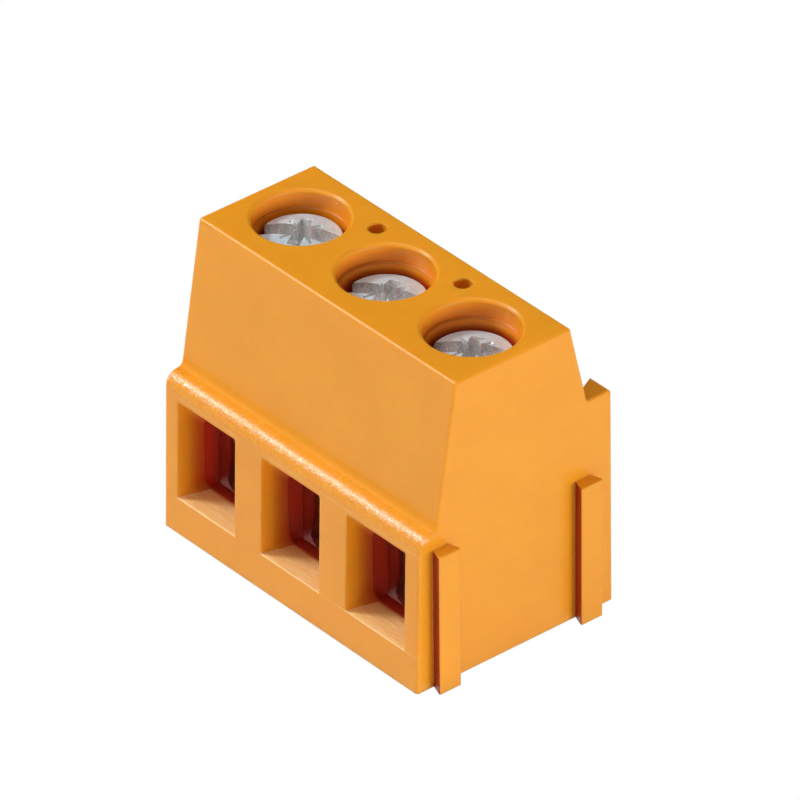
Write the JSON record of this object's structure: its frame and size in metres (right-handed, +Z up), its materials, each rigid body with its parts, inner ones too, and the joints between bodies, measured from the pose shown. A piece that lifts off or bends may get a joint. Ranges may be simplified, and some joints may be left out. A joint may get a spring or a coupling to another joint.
{
  "type": "pcb terminal block",
  "caption": "Screw terminal block for a printed circuit board: wires enter the front, clamping screws sit in the top, solder pins below, dovetail sides to join blocks.",
  "frame": {"origin": "centre of the middle solder pin in the plane of the board, which is the housing's underside", "axes": "+Z up from the board, +X along the row of poles towards the side with the tongues, +Y from the wire side to the back"},
  "size_m": [0.0158, 0.0098, 0.0169],
  "materials": {
    "housing_polyamide": "moulded polyamide, satin, fine sparkle on rounded edges",
    "screw_steel": "bright zinc plate",
    "yoke_steel": "zinc plate on folded sheet",
    "contact_tin": "tin plate on copper alloy"
  },
  "bodies": {
    "housing": {"housing": "housing_polyamide", "contact_1": "contact_tin", "contact_2": "contact_tin", "contact_3": "contact_tin"},
    "screw_1": {"screw_1": "screw_steel"},
    "yoke_1": {"clamp_yoke_1": "yoke_steel"},
    "screw_2": {"screw_2": "screw_steel"},
    "yoke_2": {"clamp_yoke_2": "yoke_steel"},
    "screw_3": {"screw_3": "screw_steel"},
    "yoke_3": {"clamp_yoke_3": "yoke_steel"}
  },
  "joints": [
    {"name": "screw_1_turn", "type": "hinge", "parent": "housing", "child": "screw_1", "pos_m": [-0.00508, -0.00285, 0.0057], "axis": [0, 0, -1], "range_deg": [0, 2520.01]},
    {"name": "yoke_1_lift", "type": "slide", "parent": "housing", "child": "yoke_1", "axis": [0, 0, 1], "range_m": [0, 0.0035]},
    {"name": "screw_2_turn", "type": "hinge", "parent": "housing", "child": "screw_2", "pos_m": [0, -0.00285, 0.0057], "axis": [0, 0, -1], "range_deg": [0, 2520.01]},
    {"name": "yoke_2_lift", "type": "slide", "parent": "housing", "child": "yoke_2", "axis": [0, 0, 1], "range_m": [0, 0.0035]},
    {"name": "screw_3_turn", "type": "hinge", "parent": "housing", "child": "screw_3", "pos_m": [0.00508, -0.00285, 0.0057], "axis": [0, 0, -1], "range_deg": [0, 2520.01]},
    {"name": "yoke_3_lift", "type": "slide", "parent": "housing", "child": "yoke_3", "axis": [0, 0, 1], "range_m": [0, 0.0035]}
  ],
  "couplings": [
    {"joint": "screw_1_turn", "follows": "yoke_1_lift", "rad_per_m": 12566},
    {"joint": "screw_2_turn", "follows": "yoke_2_lift", "rad_per_m": 12566},
    {"joint": "screw_3_turn", "follows": "yoke_3_lift", "rad_per_m": 12566}
  ]
}
